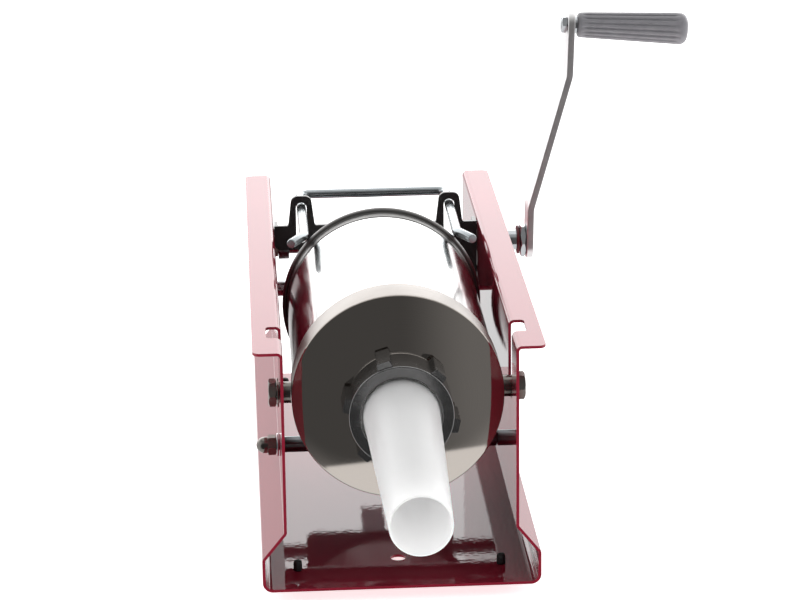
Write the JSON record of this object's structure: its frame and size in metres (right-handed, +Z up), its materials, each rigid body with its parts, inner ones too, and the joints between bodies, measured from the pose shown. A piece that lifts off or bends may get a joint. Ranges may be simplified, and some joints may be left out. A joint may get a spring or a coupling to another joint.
{
  "type": "sausage stuffer",
  "caption": "Horizontal sausage stuffer: folded sheet frame, polished cylinder, hand-cranked rack that drives a piston towards a tapered nozzle.",
  "frame": {"origin": "on the resting surface, under the middle of the frame", "axes": "-Y towards the nozzle, +X towards the crank, +Z up"},
  "size_m": [0.3401, 0.6663, 0.336],
  "materials": {
    "frame_channel": "dark red gloss powder coat",
    "foot_left_front": "matt black",
    "foot_left_back": "matt black",
    "foot_right_front": "matt black",
    "foot_right_back": "matt black",
    "cylinder_tube": "polished stainless steel",
    "front_cap": "polished stainless steel",
    "trunnion_boss_left": "zinc plated",
    "trunnion_boss_right": "zinc plated",
    "trunnion_washer_left": "zinc plated",
    "trunnion_washer_right": "zinc plated",
    "trunnion_bolt_left": "zinc plated",
    "trunnion_bolt_right": "zinc plated",
    "cross_rod": "zinc plated",
    "rod_cap_nut": "zinc plated",
    "rod_nut": "zinc plated",
    "rod_washer_left": "zinc plated",
    "rod_washer_right": "zinc plated",
    "rear_plate": "satin black powder coat",
    "plate_screw_left_0": "zinc plated",
    "plate_screw_right_0": "zinc plated",
    "plate_screw_right_1": "zinc plated",
    "plate_nut_left_0": "zinc plated",
    "plate_nut_right_0": "zinc plated",
    "plate_nut_right_1": "zinc plated",
    "shaft_bush_left": "nylon",
    "shaft_bush_right": "nylon",
    "roller_pin": "zinc plated",
    "roller_spacer_left": "zinc plated",
    "roller_spacer_right": "zinc plated",
    "roller_nut_left": "zinc plated",
    "roller_nut_right": "zinc plated",
    "rack_roller": "nylon",
    "rack": "machined steel",
    "piston_disc": "food-grade plastic",
    "piston_seal": "silicone",
    "piston_washer": "zinc plated",
    "piston_nut": "zinc plated",
    "crank_shaft": "zinc plated",
    "pinion": "machined steel",
    "pinion_pin": "machined steel",
    "shaft_collar_left": "machined steel",
    "shaft_collar_right": "machined steel",
    "crank_washer": "dark red fibre",
    "crank_nut": "zinc plated",
    "crank_arm": "zinc plated",
    "grip_spindle": "zinc plated",
    "spindle_nut": "zinc plated",
    "grip": "dark grey, fine grain",
    "latch_bail": "zinc plated",
    "nozzle": "translucent white",
    "nozzle_gasket": "silicone",
    "ring_nut": "dark die casting"
  },
  "bodies": {
    "frame": {"frame_channel": "frame_channel", "foot_left_front": "foot_left_front", "foot_left_back": "foot_left_back", "foot_right_front": "foot_right_front", "foot_right_back": "foot_right_back", "cylinder_tube": "cylinder_tube", "front_cap": "front_cap", "trunnion_boss_left": "trunnion_boss_left", "trunnion_boss_right": "trunnion_boss_right", "trunnion_washer_left": "trunnion_washer_left", "trunnion_washer_right": "trunnion_washer_right", "trunnion_bolt_left": "trunnion_bolt_left", "trunnion_bolt_right": "trunnion_bolt_right", "cross_rod": "cross_rod", "rod_cap_nut": "rod_cap_nut", "rod_nut": "rod_nut", "rod_washer_left": "rod_washer_left", "rod_washer_right": "rod_washer_right", "rear_plate": "rear_plate", "plate_screw_left_0": "plate_screw_left_0", "plate_screw_right_0": "plate_screw_right_0", "plate_screw_right_1": "plate_screw_right_1", "plate_nut_left_0": "plate_nut_left_0", "plate_nut_right_0": "plate_nut_right_0", "plate_nut_right_1": "plate_nut_right_1", "shaft_bush_left": "shaft_bush_left", "shaft_bush_right": "shaft_bush_right", "roller_pin": "roller_pin", "roller_spacer_left": "roller_spacer_left", "roller_spacer_right": "roller_spacer_right", "roller_nut_left": "roller_nut_left", "roller_nut_right": "roller_nut_right"},
    "crank": {"crank_shaft": "crank_shaft", "pinion": "pinion", "pinion_pin": "pinion_pin", "shaft_collar_left": "shaft_collar_left", "shaft_collar_right": "shaft_collar_right", "crank_washer": "crank_washer", "crank_nut": "crank_nut", "crank_arm": "crank_arm", "grip_spindle": "grip_spindle", "spindle_nut": "spindle_nut"},
    "grip": {"grip": "grip"},
    "rack": {"rack": "rack", "piston_disc": "piston_disc", "piston_seal": "piston_seal", "piston_washer": "piston_washer", "piston_nut": "piston_nut"},
    "roller": {"rack_roller": "rack_roller"},
    "latch": {"latch_bail": "latch_bail"},
    "nozzle": {"nozzle": "nozzle", "nozzle_gasket": "nozzle_gasket"},
    "ring_nut": {"ring_nut": "ring_nut"}
  },
  "joints": [
    {"name": "crank_turn", "type": "hinge", "parent": "frame", "child": "crank", "pos_m": [0.09, 0.1085, 0.155], "axis": [1, 0, 0], "range_deg": [-433, 616]},
    {"name": "rack_slide", "type": "slide", "parent": "frame", "child": "rack", "axis": [0, 1, 0], "range_m": [-0.095, 0.135]},
    {"name": "roller_turn", "type": "hinge", "parent": "frame", "child": "roller", "pos_m": [0, 0.1085, 0.1207], "axis": [1, 0, 0], "range_deg": [-775, 545]},
    {"name": "grip_spin", "type": "hinge", "parent": "crank", "child": "grip", "pos_m": [0.15173, 0.1085, 0.3245], "axis": [0.998, 0, -0.0628], "continuous": true},
    {"name": "latch_slide", "type": "slide", "parent": "frame", "child": "latch", "axis": [0, 1, 0], "range_m": [0, 0.062]},
    {"name": "nozzle_slide", "type": "slide", "parent": "frame", "child": "nozzle", "axis": [0, -1, 0], "range_m": [0, 0.0062]},
    {"name": "ring_nut_turn", "type": "hinge", "parent": "nozzle", "child": "ring_nut", "pos_m": [0, -0.2385, 0.138], "axis": [0, -1, 0], "range_deg": [0, 720]}
  ],
  "couplings": [
    {"joint": "rack_slide", "follows": "crank_turn", "m_per_rad": 0.0125},
    {"joint": "roller_turn", "follows": "crank_turn", "ratio": -1.25},
    {"joint": "nozzle_slide", "follows": "ring_nut_turn", "m_per_rad": 0.00047746}
  ]
}
